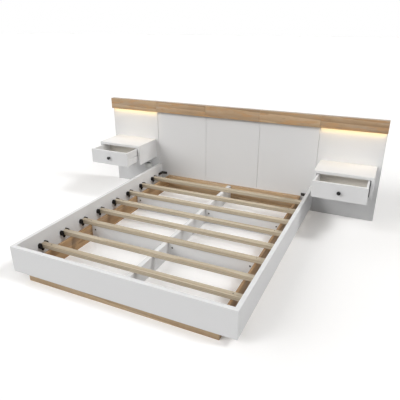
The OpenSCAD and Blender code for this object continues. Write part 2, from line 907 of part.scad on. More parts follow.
// Turned knob: foot, neck and rounded head, with the stud that goes into the front
module drawer_knob(side) {
    edge_r = knob_head_t * 0.45;
    color("black") translate([side * stand_x, drawer_y, drawer_z + front_h / 2])
        rotate([90, 0, 0]) {
            rotate_extrude($fn = 64) {
                square([knob_foot_d / 2, knob_foot_t]);
                square([knob_neck_d / 2, knob_l - knob_head_t / 2]);
                translate([0, knob_l - knob_head_t]) {
                    square([knob_d / 2 - edge_r, knob_head_t]);
                    translate([0, edge_r]) square([knob_d / 2, knob_head_t - 2 * edge_r]);
                    for (z = [edge_r, knob_head_t - edge_r])
                        translate([knob_d / 2 - edge_r, z]) circle(edge_r);
                }
            }
            translate([0, 0, -stud_l]) cylinder(h = stud_l + past, d = stud_d);
        }
}

footboard();
side_rail(left);  // left_side_rail
side_rail(right);  // right_side_rail
foot_plinth();
base_board(left);  // left_base_board
base_board(right);  // right_base_board
head_base_board();
head_ledger();
centre_beam();
cross_panels(cross_slats[0]);  // foot_cross_panels
cross_panels(cross_slats[1]);  // head_cross_panels
for (k = [1 : slat_count])
    slat(k);
slat_holders();
slat_screws();
cam_fittings();
corner_braces();
pan_screws();
dowels();
headboard_panel(-2);  // panel_outer_left
headboard_panel(-1);  // panel_inner_left
headboard_panel(0);  // panel_centre
headboard_panel(1);  // panel_inner_right
headboard_panel(2);  // panel_outer_right
band_segment(-2);  // band_outer_left
band_segment(-1);  // band_inner_left
band_segment(0);  // band_centre
band_segment(1);  // band_inner_right
band_segment(2);  // band_outer_right
seam_battens();
led_channels();
led_tapes();
led_diffusers();
sensor_housing();
sensor_lens();
drawer_runners();
stand_top(left);  // left_stand_top
stand_bottom(left);  // left_stand_bottom
stand_sides(left);  // left_stand_sides
stand_back(left);  // left_stand_back
stand_top(right);  // right_stand_top
stand_bottom(right);  // right_stand_bottom
stand_sides(right);  // right_stand_sides
stand_back(right);  // right_stand_back
drawer_front(left);  // left_drawer_front
drawer_sides(left);  // left_drawer_sides
drawer_back(left);  // left_drawer_back
drawer_bottom(left);  // left_drawer_bottom
drawer_knob(left);  // left_drawer_knob
drawer_front(right);  // right_drawer_front
drawer_sides(right);  // right_drawer_sides
drawer_back(right);  // right_drawer_back
drawer_bottom(right);  // right_drawer_bottom
drawer_knob(right);  // right_drawer_knob
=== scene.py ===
import math

import bpy
import bmesh
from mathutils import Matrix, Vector


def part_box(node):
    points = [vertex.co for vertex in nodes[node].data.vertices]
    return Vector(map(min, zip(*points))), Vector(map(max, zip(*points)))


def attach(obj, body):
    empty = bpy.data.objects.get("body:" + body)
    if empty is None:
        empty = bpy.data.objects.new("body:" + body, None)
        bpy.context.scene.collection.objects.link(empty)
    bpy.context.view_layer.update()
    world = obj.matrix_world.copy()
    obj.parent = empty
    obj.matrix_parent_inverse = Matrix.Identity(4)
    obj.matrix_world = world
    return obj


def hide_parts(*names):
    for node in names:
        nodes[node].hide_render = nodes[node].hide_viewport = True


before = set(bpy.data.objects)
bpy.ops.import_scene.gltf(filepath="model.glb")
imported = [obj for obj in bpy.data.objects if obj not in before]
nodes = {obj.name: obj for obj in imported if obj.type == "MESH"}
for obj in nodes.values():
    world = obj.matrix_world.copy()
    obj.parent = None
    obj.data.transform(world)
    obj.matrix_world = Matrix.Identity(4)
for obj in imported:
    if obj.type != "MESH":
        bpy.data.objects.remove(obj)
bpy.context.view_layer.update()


# Side rails and footboard: 30 mm chipboard with a white melamine coat, satin and very finely pearled.
# The boards are cut from a coated sheet, and a thin white band is glued round their cut edges.

class Signal:
    """A value that changes over a surface: the socket that it leaves, with arithmetic on it."""

    def __init__(self, finish, socket):
        self.finish = finish
        self.socket = socket

    def joined(self, operation, first, second):
        return self.finish.node("ShaderNodeMath", {"operation": operation}, {0: first, 1: second})

    def __add__(self, other):
        return self.joined("ADD", self, other)

    def __radd__(self, other):
        return self.joined("ADD", other, self)

    def __sub__(self, other):
        return self.joined("SUBTRACT", self, other)

    def __rsub__(self, other):
        return self.joined("SUBTRACT", other, self)

    def __mul__(self, other):
        return self.joined("MULTIPLY", self, other)

    def __rmul__(self, other):
        return self.joined("MULTIPLY", other, self)

    def __truediv__(self, other):
        return self.joined("DIVIDE", self, other)

    def at_most(self, other):
        return self.joined("MINIMUM", self, other)

    def at_least(self, other):
        return self.joined("MAXIMUM", self, other)

    def size(self):
        return self.joined("ABSOLUTE", self, 0.0)

    def rise(self, start, end):
        """0 at start and 1 at end, with a smooth way between them."""
        span = {"From Min": start, "From Max": end, "To Min": 0.0, "To Max": 1.0}
        return self.finish.node("ShaderNodeMapRange", {"interpolation_type": "SMOOTHSTEP"},
                                {"Value": self, **span}, "Result")


class Finish:
    """One material, built node by node from the object's own coordinates in metres."""

    def __init__(self, name):
        self.material = bpy.data.materials.new(name)
        self.material.use_nodes = True
        self.tree = self.material.node_tree
        self.tree.nodes.clear()
        self.place = self.node("ShaderNodeTexCoord", output="Object")

    def node(self, kind, settings=None, inputs=None, output=0):
        """Adds a node: its settings first, then the values or links of its inputs."""
        made = self.tree.nodes.new(kind)
        for name, value in (settings or {}).items():
            if name == "stops":
                self.set_stops(made.color_ramp, value)
            else:
                setattr(made, name, value)
        for key, value in (inputs or {}).items():
            self.feed(made.inputs[key], value)
        return Signal(self, made.outputs[output])

    def feed(self, socket, value):
        if isinstance(value, Signal):
            self.tree.links.new(value.socket, socket)
        elif socket.type == "RGBA":
            socket.default_value = (*value, 1.0)
        else:
            socket.default_value = value

    def set_stops(self, ramp, stops):
        """stops are (position, colour) pairs, from left to right."""
        while len(ramp.elements) < len(stops):
            ramp.elements.new(1.0)
        for element, (position, colour) in zip(ramp.elements, stops):
            element.position = position
            element.color = (*colour, 1.0)

    def axes(self):
        """The x, y and z coordinate of the surface point, each as a Signal."""
        split = self.node("ShaderNodeSeparateXYZ", inputs={0: self.place})
        return [Signal(self, axis) for axis in split.socket.node.outputs]

    def shifted(self, offset, stretch=(1.0, 1.0, 1.0)):
        """The place on the surface, stretched along the axes and moved by an offset. An offset made from
        a piece's seed gives the piece its own cut of a pattern."""
        return self.node("ShaderNodeMapping", {"vector_type": "POINT"},
                         {"Vector": self.place, "Location": offset, "Scale": stretch})

    def cloud(self, at, per_metre, detail=2.0, rough=0.5):
        """Soft random patches, so many to the metre, with finer ones in them."""
        return self.node("ShaderNodeTexNoise", {"noise_dimensions": "3D"},
                         {"Vector": at, "Scale": per_metre, "Detail": detail, "Roughness": rough})

    def ramp(self, share, stops):
        return self.node("ShaderNodeValToRGB", {"stops": stops}, {"Fac": share}, "Color")

    def blend(self, share, first, second):
        """The first colour where share is 0 and the second where it is 1. In a Mix node the colours
        are inputs 6 and 7, and output 2."""
        return self.node("ShaderNodeMix", {"data_type": "RGBA", "clamp_factor": True},
                         {0: share, 6: first, 7: second}, 2)

    def surface(self, colour, roughness, relief=None, depth=0.0, others=None):
        """Ends the material. depth is how many metres a relief of 1 is high, and others holds what the
        shader's other sockets get."""
        inputs = {"Base Color": colour, "Roughness": roughness, **(others or {})}
        if relief is not None:
            inputs["Normal"] = self.node("ShaderNodeBump", inputs={"Height": relief, "Strength": 1.0,
                                                                   "Distance": depth}, output="Normal")
        shader = self.node("ShaderNodeBsdfPrincipled", inputs=inputs, output="BSDF")
        end = self.tree.nodes.new("ShaderNodeOutputMaterial")
        self.tree.links.new(shader.socket, end.inputs["Surface"])
        return self.material


def shaded(colour, factor, lift=0.0):
    """The colour with each channel times the factor, or times its own of three, and then lifted."""
    factors = factor if isinstance(factor, tuple) else (factor,) * 3
    return tuple(min(1.0, channel * own + lift) for channel, own in zip(colour, factors))


def edge_distance(finish, low, high, inner_face=None):
    """How far a point on a box-shaped board is from the nearest edge, in metres. For a node that is two
    boards side by side, inner_face is where the inner face of the right one is. On a surface the way to
    the nearest face is 0, so the way to the edge is the middle one of the three."""
    x, y, z = finish.axes()
    low, high = Vector(low), Vector(high)
    if inner_face is not None:
        middle = (low.x + high.x) / 2
        x = (x - middle).size()
        low.x, high.x = inner_face - middle, high.x - middle
    in_x, in_y, in_z = [(axis - low[i]).at_most(high[i] - axis) for i, axis in enumerate((x, y, z))]
    return in_x.at_most(in_y).at_least(in_x.at_least(in_y).at_most(in_z))


def near_edge(edge, reach, fade):
    """1 right at an edge and 0 from reach on, with a way of fade between them, all in metres."""
    return (reach - edge).rise(0.0, fade)


def give(material, *names):
    """Puts a material on CAD nodes in place of their plain one."""
    for name in names:
        nodes[name].data.materials.clear()
        nodes[name].data.materials.append(material)


board_white = (0.785, 0.784, 0.784)
board_worn = (0.720, 0.717, 0.710)
board_gloss = 0.36       # roughness of the clean coat
pearl_grain = 420.0      # pearls to the metre
band_joint = 0.0016      # how far the glue line of the edge band is from the edge
glue_half = 0.0003       # from the middle of the glue line to its side
rub_reach = 0.0030       # how far from an edge the coat gets rubbed
rub_fade = 0.0028
edge_round = 0.0012      # how far the rounding of an edge reaches over the board's faces
coat_relief = 0.00012    # height of one unit of relief


def coated_board(name, seed, inner_face=None, rounding=edge_round):
    """White melamine coat on one board, with its edge band, a faint cloud and a little wear."""
    finish = Finish(f"coated_{name}")
    edge = edge_distance(finish, *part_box(name), inner_face)
    at = finish.shifted((seed * 3.1, seed * 1.7, seed * 2.3))
    patches = finish.cloud(at, per_metre=2.6, detail=3.0)
    pearl = finish.cloud(at, per_metre=pearl_grain)
    scuff = finish.cloud(at, per_metre=38.0, detail=4.0, rough=0.7).rise(0.60, 0.78)
    rubbed = (near_edge(edge, rub_reach, rub_fade)
              * finish.cloud(at, per_metre=21.0, detail=3.0).rise(0.42, 0.70))
    glue = (edge - band_joint).size().rise(glue_half, 0.0) * 0.35
    tone = finish.ramp(patches, [(0.30, shaded(board_white, 0.985)), (0.70, board_white)])
    tone = finish.blend((rubbed * 0.5 + glue).at_most(0.8), tone, board_worn)
    rough = board_gloss + patches * 0.06 + pearl * 0.04 + scuff * 0.07 + rubbed * 0.08
    crown = (edge / rounding).at_most(1.0)
    height = (pearl * 0.12 + glue * -1.2 + scuff * -0.15
              - (1.0 - crown) * (1.0 - crown) * (0.5 * rounding / coat_relief))
    return finish.surface(tone, rough, height, coat_relief, {"Specular IOR Level": 0.45})


for seed, name in enumerate(("footboard", "left_side_rail", "right_side_rail"), 1):
    give(coated_board(name, seed), name)


# Base under the rails: plinth, two long base boards, head board and ledger, set back from the rails.
# They are 18 mm boards with a light oak-look veneer, whose grain runs along each board. The veneer is
# greyer on the plinth. The long boards are darker and browner as painted shade, and the head board and
# ledger lighter as painted light.

oak_light = (0.590, 0.415, 0.245)
oak_dark = (0.360, 0.228, 0.122)
oak_pore = (0.200, 0.120, 0.065)
heart_tone = (1.14, 0.95, 0.72)   # of the heartwood, against the wood round it
oak_gloss = 0.50         # roughness
oak_relief = 0.00016     # height of one unit of relief
oak_rub_reach = 0.0020   # how far from an edge the veneer gets rubbed
oak_rub_fade = 0.0018
dark_top_start = 0.0008  # below the top of a board, where the darker upper edge starts: painted shade on the base boards, raw greyer wood on the band
dark_top_full = 0.0003   # below the top, where the darker upper edge is full
long_grain = 0.055       # how much of a pattern's change is left along the grain
short_grain = 0.16       # the same for flames and streaks


def drawn_out(along, share):
    """Stretch for a pattern that is drawn out along one axis (0, 1 or 2), as wood grain is, where only
    a share of its change is left."""
    return tuple(share if axis == along else 1.0 for axis in range(3))


def oak_veneer(name, along, seed, light, dark, dark_top_colour=oak_pore, dark_top_share=0.35, heart=0.0):
    """Veneer with cathedral and straight grain along one axis, pores and a soft coat. The upper edge is
    darkened by the given colour and share: by default with the pore colour, as painted shade where the
    rail's shadow falls on the base boards, and on the band as its raw greyer top. heart is how strongly
    the redder heartwood shows in streaks."""
    finish = Finish(f"oak_{name}")
    low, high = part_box(name)
    edge = edge_distance(finish, low, high)
    at = finish.shifted((seed * 1.37, seed * 2.11, seed * 0.83), drawn_out(along, long_grain))
    wander = finish.cloud(at, per_metre=5.5, detail=4.0, rough=0.55)
    rings = finish.node("ShaderNodeTexWave", {"wave_type": "BANDS", "bands_direction": "DIAGONAL",
                                              "wave_profile": "SAW"},
                        {"Vector": at, "Scale": 9.0, "Distortion": 9.0, "Detail": 2.5,
                         "Detail Scale": 0.9, "Detail Roughness": 0.55}, "Fac")
    pores = finish.cloud(at, per_metre=330.0, rough=0.6).rise(0.60, 0.72)
    patches = finish.cloud(finish.shifted((seed, 0.0, seed)), per_metre=2.2)
    stretch = drawn_out(along, short_grain)
    flame = finish.cloud(finish.shifted((seed * 0.47, seed * 0.29, seed * 0.61), stretch),
                         per_metre=24.0, detail=3.0, rough=0.6)
    share = wander * 0.55 + rings * 0.24 + patches * 0.16 + flame * 0.24
    middle = tuple((a + b) / 2 for a, b in zip(light, dark))
    grey = sum(middle) / 3
    faded = tuple(0.5 * (channel + grey) * 1.04 for channel in middle)
    tone = finish.ramp(share, [(0.42, dark), (0.57, middle), (0.72, light)])
    tone = finish.blend(flame.rise(0.50, 0.72) * 0.45, tone, faded)
    streak = finish.cloud(finish.shifted((seed * 0.37, seed * 0.73, seed * 0.19), stretch),
                          per_metre=34.0)
    tone = finish.blend((0.50 - streak).rise(0.0, 0.10) * heart, tone, shaded(middle, heart_tone))
    tone = finish.blend(pores * 0.55, tone, oak_pore)
    rubbed = (near_edge(edge, oak_rub_reach, oak_rub_fade)
              * finish.cloud(at, per_metre=26.0, detail=3.0).rise(0.40, 0.72))
    tone = finish.blend(rubbed * 0.5, tone, shaded(light, 1.15))
    # painted shade: the base boards' upper edge is darkened where the rail's shadow falls; on the band
    # this is its raw greyer top
    raw_top_and_shade = finish.axes()[2].rise(high.z - dark_top_start, high.z - dark_top_full)
    tone = finish.blend(raw_top_and_shade * dark_top_share, tone, dark_top_colour)
    rough = oak_gloss + wander * 0.10 + pores * 0.15 - rubbed * 0.06
    height = rings * 0.35 - pores * 0.65
    return finish.surface(tone, rough, height, oak_relief, {"Specular IOR Level": 0.40})


plinth_tone = (0.94, 0.99, 1.05)
# painted shade on the long base boards and painted light on the head board and ledger, as darker and
# lighter copies of the same veneer
long_board_painted_shade = (0.89, 0.80, 0.70)
head_painted_light = (1.12, 1.12, 1.12)
# The axis along which the grain of each board runs, and the board's tone: greyer on the plinth, painted
# shade on the long boards, painted light on the head board and ledger
base_boards = {"foot_plinth": (0, plinth_tone), "left_base_board": (1, long_board_painted_shade),
               "right_base_board": (1, long_board_painted_shade), "head_base_board": (0, head_painted_light),
               "head_ledger": (0, head_painted_light)}
for seed, (name, (along, tone)) in enumerate(base_boards.items(), 4):
    give(oak_veneer(name, along, seed, shaded(oak_light, tone), shaded(oak_dark, tone)), name)


# Centre beam and cross panels: white coated boards that stand on the floor under the slats. The beam
# runs from foot to head, and two rows of panels are tied to it and to the base boards by cam locks.

beam_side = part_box("centre_beam")[1].x
give(coated_board("centre_beam", 9), "centre_beam")
for seed, name in enumerate(("foot_cross_panels", "head_cross_panels"), 10):
    give(coated_board(name, seed, beam_side), name)


# Slats: eight planed boards of solid softwood, unvarnished, with the grain along each slat.
# Each is cut from another part of the trunk, so its growth rings lie another way.

slat_light = (0.560, 0.487, 0.372)
slat_dark = (0.430, 0.340, 0.232)
softwood_gloss = 0.60          # roughness
softwood_relief = 0.00022      # height of one unit of relief
softwood_rub_reach = 0.0025    # how far from an edge the planed wood is rubbed light
softwood_rub_fade = 0.0022
heart_near = 0.045             # from the trunk's middle to the board that is cut nearest to it
heart_step = 0.030             # from one cut to the next, outwards
side_step = 0.035              # from one cut to the next, sideways
softwood_grain = 0.045         # how much of a pattern's change is left along the grain


def softwood(name, along, seed, light, dark):
    """Solid wood: growth rings round the trunk's axis, which the faces of the board cut through."""
    finish = Finish(f"softwood_{name}")
    low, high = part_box(name)
    edge = edge_distance(finish, low, high)
    middle = (low + high) / 2
    stretch = drawn_out(along, softwood_grain)
    offset = [-stretch[i] * middle[i] for i in range(3)]
    sideways, outwards = [i for i in range(3) if i != along]
    offset[sideways] += side_step * ((seed * 5) % 4 - 1.5)
    offset[outwards] += heart_near + heart_step * (seed % 3)
    at = finish.shifted(offset, stretch)
    rings = finish.node("ShaderNodeTexWave", {"wave_type": "RINGS", "rings_direction": "XYZ"[along],
                                              "wave_profile": "SAW"},
                        {"Vector": at, "Scale": 26.0, "Distortion": 2.2, "Detail": 2.0,
                         "Detail Scale": 1.4, "Detail Roughness": 0.5}, "Fac")
    late = rings.rise(0.45, 1.0)
    fibre = finish.cloud(at, per_metre=260.0, detail=3.0, rough=0.65)
    patches = finish.cloud(finish.shifted((seed * 1.9, seed * 0.7, 0.0)), per_metre=7.0)
    tone = finish.ramp(late * 0.60 + fibre * 0.28 + patches * 0.22, [(0.22, light), (0.88, dark)])
    rubbed = near_edge(edge, softwood_rub_reach, softwood_rub_fade)
    tone = finish.blend(rubbed * 0.25, tone, shaded(light, 1.08))
    rough = softwood_gloss + fibre * 0.14 - late * 0.08
    height = late * 0.45 + fibre * 0.55
    return finish.surface(tone, rough, height, softwood_relief, {"Specular IOR Level": 0.30})


slat_count = sum(name.removeprefix("slat_").isdigit() for name in nodes)
for k in range(1, slat_count + 1):
    give(softwood(f"slat_{k}", 0, k, slat_light, slat_dark), f"slat_{k}")


# Slat holders: sixteen black shoes of moulded plastic, each screwed to the rail by the tab below it.
# The slat's end lies on the ribs of the shoe's floor, in the slot between two thick rounded cheeks.

mould_grain = 900.0      # grains of the mould's texture to the metre
mould_relief = 0.00010   # height of one unit of relief


def moulded(name, colour, gloss, seed, grain=mould_grain, depth=mould_relief):
    """Moulded plastic: a fine even texture from the mould, and faint flow marks."""
    finish = Finish(f"moulded_{name}")
    at = finish.shifted((seed * 0.9, seed * 0.4, seed * 0.6))
    grit = finish.cloud(at, per_metre=grain)
    flow = finish.cloud(at, per_metre=14.0, detail=3.0, rough=0.6)
    tone = finish.ramp(flow, [(0.30, colour), (0.75, shaded(colour, 1.35, 0.004))])
    rough = gloss + flow * 0.12 + grit * 0.10
    return finish.surface(tone, rough, grit, depth, {"Specular IOR Level": 0.20})


holder_black = (0.007, 0.005, 0.004)
holder_gloss = 0.55
holder_width = 0.083     # along the rail
holder_reach = 0.026     # out from the rail
holder_floor = 0.006     # under the slat
holder_height = 0.041
holder_corner = 0.0155
holder_wall = 0.005      # behind the slat's end
slot_width = 0.043
tab_width = 0.022
tab_drop = 0.030
rib_width = 0.0022
rib_rise = 0.0010        # of the ribs that the slat rests on, above the slot's floor
rib_pitch = 0.0065
ribs_each_way = 4        # on each side of the middle rib
rib_setback = 0.002      # from the mouth of the shoe to the ribs
rib_edge = 0.0002        # rounding of the ribs' ends
mould_edge = 0.0011      # rounding that the mould leaves on the other edges


def arc(centre, radius, start, end, steps=6):
    """Points on an arc in y and z, with the angles in degrees from +y toward +z."""
    angles = [math.radians(start + (end - start) * i / steps) for i in range(steps + 1)]
    return [(centre[0] + radius * math.cos(a), centre[1] + radius * math.sin(a)) for a in angles]


def prism(builder, outline, start, end, rounding=mould_edge):
    """A solid from x = start to x = end, with the outline in y and z, counter-clockwise from +x.
    The edge round its far end is rounded."""
    near = [builder.verts.new((start, y, z)) for y, z in outline]
    far = [builder.verts.new((end, y, z)) for y, z in outline]
    builder.faces.new(list(reversed(near)))
    cap = builder.faces.new(far)
    for i in range(len(outline)):
        j = (i + 1) % len(outline)
        builder.faces.new((near[i], near[j], far[j], far[i]))
    bmesh.ops.bevel(builder, geom=list(cap.edges), offset=rounding, segments=2, profile=0.5,
                    affect="EDGES")


def holder_mesh():
    """One shoe. The rail is at x = 0, the slat's middle at y = 0 and its underside at z = 0."""
    half, slot = holder_width / 2, slot_width / 2
    bottom, top = -holder_floor, holder_height - holder_floor
    inside = bottom / 2      # where the wall, the tab and the ribs start, within the floor
    corner_y, low_z, high_z = half - holder_corner, bottom + holder_corner, top - holder_corner
    cup = (arc((-corner_y, low_z), holder_corner, 180, 270)
           + arc((corner_y, low_z), holder_corner, 270, 360)
           + arc((corner_y, high_z), holder_corner, 0, 90)
           + [(slot, top), (slot, -rib_rise), (-slot, -rib_rise), (-slot, top)]
           + arc((-corner_y, high_z), holder_corner, 90, 180))
    builder = bmesh.new()
    prism(builder, cup, 0.0, holder_reach)
    wall_top = holder_height / 2 - holder_floor
    prism(builder, [(-slot, inside), (slot, inside), (slot, wall_top), (-slot, wall_top)],
          0.0, holder_wall)
    tab_low = bottom - tab_drop + tab_width / 2
    prism(builder, arc((0.0, tab_low), tab_width / 2, 180, 360, steps=12)
          + [(tab_width / 2, inside), (-tab_width / 2, inside)], 0.0, holder_wall)
    for row in range(-ribs_each_way, ribs_each_way + 1):
        left, right = row * rib_pitch - rib_width / 2, row * rib_pitch + rib_width / 2
        prism(builder, [(left, inside), (right, inside), (right, 0.0), (left, 0.0)],
              holder_wall, holder_reach - rib_setback, rib_edge)
    mesh = bpy.data.meshes.new("holder_unit")
    builder.to_mesh(mesh)
    builder.free()
    return mesh


def pairs_tree():
    """Geometry Nodes for units that stand in pairs along Y, each turned toward its partner."""
    tree = bpy.data.node_groups.new("pairs_along_y", "GeometryNodeTree")
    sockets = {}
    for name, kind in (("Unit", "Object"), ("Span", "Float"), ("Length", "Float"), ("Pairs", "Int"),
                       ("Middle", "Vector"), ("Material", "Material")):
        made = tree.interface.new_socket(name=name, in_out="INPUT", socket_type=f"NodeSocket{kind}")
        sockets[name] = made.identifier
    tree.interface.new_socket(name="Geometry", in_out="OUTPUT", socket_type="NodeSocketGeometry")

    def add(kind, inputs=None, **settings):
        made = tree.nodes.new(kind)
        for name, value in settings.items():
            setattr(made, name, value)
        for key, value in (inputs or {}).items():
            if isinstance(value, bpy.types.NodeSocket):
                tree.links.new(value, made.inputs[key])
            else:
                made.inputs[key].default_value = value
        return made

    entry = add("NodeGroupInput").outputs
    grid = add("GeometryNodeMeshGrid", {"Size X": entry["Span"], "Size Y": entry["Length"],
                                        "Vertices X": 2, "Vertices Y": entry["Pairs"]})
    spread = add("GeometryNodeSetPosition", {"Geometry": grid.outputs["Mesh"],
                                             "Offset": entry["Middle"]})
    across = add("ShaderNodeSeparateXYZ", {0: add("GeometryNodeInputPosition").outputs[0]})
    right = add("FunctionNodeCompare", {0: across.outputs["X"], 1: 0.0}, operation="GREATER_THAN")
    half_turn = add("ShaderNodeMath", {0: right.outputs[0], 1: math.pi}, operation="MULTIPLY")
    turn = add("ShaderNodeCombineXYZ", {"Z": half_turn.outputs[0]})
    unit = add("GeometryNodeObjectInfo", {"Object": entry["Unit"]})
    copies = add("GeometryNodeInstanceOnPoints", {"Points": spread.outputs["Geometry"],
                                                  "Instance": unit.outputs["Geometry"],
                                                  "Rotation": turn.outputs[0]})
    real = add("GeometryNodeRealizeInstances", {"Geometry": copies.outputs["Instances"]})
    painted = add("GeometryNodeSetMaterial", {"Geometry": real.outputs["Geometry"],
                                              "Material": entry["Material"]})
    tree.links.new(painted.outputs["Geometry"], add("NodeGroupOutput").inputs["Geometry"])
    return tree, sockets


def in_pairs(name, unit_mesh, values):
    """One plain mesh object with the unit at every place of the row."""
    unit = bpy.data.objects.new(f"{name}_unit", unit_mesh)
    piece = bpy.data.objects.new(name, bpy.data.meshes.new(name))
    for made in (unit, piece):
        bpy.context.scene.collection.objects.link(made)
    tree, sockets = pairs_tree()
    modifier = piece.modifiers.new("pairs", "NODES")
    modifier.node_group = tree
    for socket, value in {"Unit": unit, **values}.items():
        modifier[sockets[socket]] = value
    graph = bpy.context.evaluated_depsgraph_get()
    result = bpy.data.meshes.new_from_object(piece.evaluated_get(graph))
    piece.modifiers.remove(modifier)
    piece.data = result
    bpy.data.objects.remove(unit)
    return piece


first_slat, last_slat = (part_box(f"slat_{k}") for k in (1, slat_count))
rail_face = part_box("left_side_rail")[1].x
first_y, last_y = ((low.y + high.y) / 2 for low, high in (first_slat, last_slat))
slat_underside = first_slat[0].z
holders = in_pairs("moulded_slat_holders", holder_mesh(), {
    "Span": -2 * rail_face, "Length": last_y - first_y, "Pairs": slat_count,
    "Middle": (0.0, (first_y + last_y) / 2, slat_underside),
    "Material": moulded("holder", holder_black, holder_gloss, 21)})
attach(holders, "bed")
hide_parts("slat_holders")


# Screws and cam locks: turned and pressed steel, burnished to a dark grey. Round-head screws hold the
# holders, braces, ledger, battens, nightstands and runners, and countersunk ones every second slat.

burnished = (0.16, 0.15, 0.14)
screw_gloss = 0.32       # roughness
steel_relief = 0.00004   # height of one unit of relief


def steel(name, colour, gloss, seed):
    """Turned or pressed steel: fine scratches, darker in the hollows of the finish."""
    finish = Finish(f"steel_{name}")
    at = finish.shifted((seed * 0.7, seed * 0.5, seed * 0.3))
    fine = finish.cloud(at, per_metre=1400.0)
    stain = finish.cloud(at, per_metre=60.0, detail=3.0, rough=0.6)
    tone = finish.ramp(stain, [(0.30, shaded(colour, 0.72)), (0.70, colour)])
    rough = gloss + stain * 0.15 + fine * 0.10
    return finish.surface(tone, rough, fine, steel_relief, {"Metallic": 1.0})


give(steel("screws", burnished, screw_gloss, 31), "slat_screws", "cam_fittings", "pan_screws")


# Corner braces: steel plates with a black powder coat, one in each corner of the frame, bent down
# along two sides. One side is screwed to a rail, and the other to the footboard or the headboard.

brace_black = (0.013, 0.010, 0.008)
brace_gloss = 0.50       # roughness
powder_relief = 0.00010  # height of one unit of relief


def powder_coat(name, colour, gloss, seed):
    """Powder coat: small even bumps like fine orange peel, and a little dust."""
    finish = Finish(f"powder_{name}")
    at = finish.shifted((seed * 0.8, seed * 0.2, seed * 0.5))
    peel = finish.cloud(at, per_metre=700.0, detail=3.0, rough=0.55)
    dust = finish.cloud(at, per_metre=18.0, detail=3.0, rough=0.6)
    tone = finish.ramp(dust, [(0.30, colour), (0.80, shaded(colour, 1.5, 0.006))])
    rough = gloss + peel * 0.12 + dust * 0.10
    return finish.surface(tone, rough, peel, powder_relief, {"Specular IOR Level": 0.30})


give(powder_coat("braces", brace_black, brace_gloss, 41), "corner_braces")


# Dowels and battens: turned beech pins in blind holes of the boards that meet, and upright strips of
# planed softwood behind the headboard, each screwed to the two panels that meet in front of it.

beech_light = (0.600, 0.440, 0.270)
beech_dark = (0.480, 0.330, 0.185)
batten_light = (0.600, 0.470, 0.310)
batten_dark = (0.470, 0.330, 0.190)
give(softwood("dowels", 1, 5, beech_light, beech_dark), "dowels")
give(softwood("seam_battens", 2, 6, batten_light, batten_dark), "seam_battens")


# Headboard panels: five boards with the same white coat, which stand side by side on the floor and are
# joined by the battens behind. Their edges are rounded further, which shows as soft lines at the joints.

panel_round = 0.0035
panel_names = [f"panel_{place}" for place in
               ("outer_left", "inner_left", "centre", "inner_right", "outer_right")]
for seed, name in enumerate(panel_names, 51):
    give(coated_board(name, seed, rounding=panel_round), name)


# Band along the top of the headboard: five box sections, one on each panel, with the same light veneer
# laid lengthwise and streaked with redder heartwood. Their upper face is raw and greyer.

band_light = (0.590, 0.420, 0.260)
band_dark = (0.345, 0.220, 0.122)
band_top = (0.330, 0.290, 0.240)
band_names = [name.replace("panel", "band") for name in panel_names]
for seed, name in enumerate(band_names, 61):
    give(oak_veneer(name, 0, seed, band_light, band_dark, band_top, dark_top_share=0.7, heart=0.60), name)


# Light under the outer band sections: in each a drawn aluminium channel is let in, with a lamp tape
# inside and a milky cover below it. Tape and cover glow, and a narrow beam goes down from each cover.

channel_grey = (0.70, 0.70, 0.71)
channel_gloss = 0.34     # roughness
line_share = 0.01        # how much of the lines' change is left along the profile
drawn_relief = 0.00003   # height of one unit of relief, on the cover too


def anodised(name, colour, gloss, along, seed):
    """Drawn aluminium: fine lines along the profile under a matt anodised skin."""
    finish = Finish(f"anodised_{name}")
    lines = finish.cloud(finish.shifted((seed, 0.0, 0.0), drawn_out(along, line_share)), per_metre=900.0)
    tone = finish.ramp(lines, [(0.30, shaded(colour, 0.9)), (0.70, colour)])
    return finish.surface(tone, gloss + lines * 0.14, lines, drawn_relief, {"Metallic": 1.0})


lamp_light = (1.0, 0.66, 0.20)
lamp_pitch = 0.0166      # from one lamp on the tape to the next
strip_shine = 5.4        # how bright the strips are against white
strip_power = 0.075      # watts of light that each beam sends down
strip_spread = 110       # degrees
strip_length = 0.540
strip_width = 0.010
strip_drop = 0.001       # from a cover down to the start of its beam
tape_yellow = (0.80, 0.74, 0.50)
cover_white = (0.90, 0.88, 0.80)
milk_gloss = 0.45        # roughness


def lit(name, colour, seed):
    """Milky plastic that gives off warm light, a little stronger over each lamp."""
    finish = Finish(f"lit_{name}")
    x = finish.axes()[0]
    wave = finish.node("ShaderNodeMath", {"operation": "SINE"}, {0: x * (2 * math.pi / lamp_pitch)})
    milk = finish.cloud(finish.shifted((seed, 0.0, 0.0)), per_metre=90.0)
    glow = finish.blend((wave * 0.5 + 0.5) * 0.6 + milk * 0.2, shaded(lamp_light, 0.92), lamp_light)
    return finish.surface(colour, milk_gloss + milk * 0.1, milk, drawn_relief,
                          {"Emission Color": glow, "Emission Strength": strip_shine})


give(anodised("channels", channel_grey, channel_gloss, 0, 71), "led_channels")
give(lit("tapes", tape_yellow, 72), "led_tapes")
give(lit("covers", cover_white, 73), "led_diffusers")
cover_low, cover_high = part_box("led_diffusers")
strip_middles = {"left": cover_low.x + strip_length / 2, "right": cover_high.x - strip_length / 2}
for side, middle in strip_middles.items():
    beam_data = bpy.data.lights.new(f"{side}_strip_beam", "AREA")
    beam_data.shape = "RECTANGLE"
    beam_data.size = strip_length
    beam_data.size_y = strip_width
    beam_data.energy = strip_power
    beam_data.spread = math.radians(strip_spread)
    beam_data.color = lamp_light
    beam = bpy.data.objects.new(f"{side}_strip_beam", beam_data)
    bpy.context.scene.collection.objects.link(beam)
    beam.location = (middle, (cover_low.y + cover_high.y) / 2, cover_low.z - strip_drop)


# Round sensor below the left nightstand: a moulded housing of light grey plastic, flat at the back where
# it lies on the headboard, with a smooth dark window set into its top.

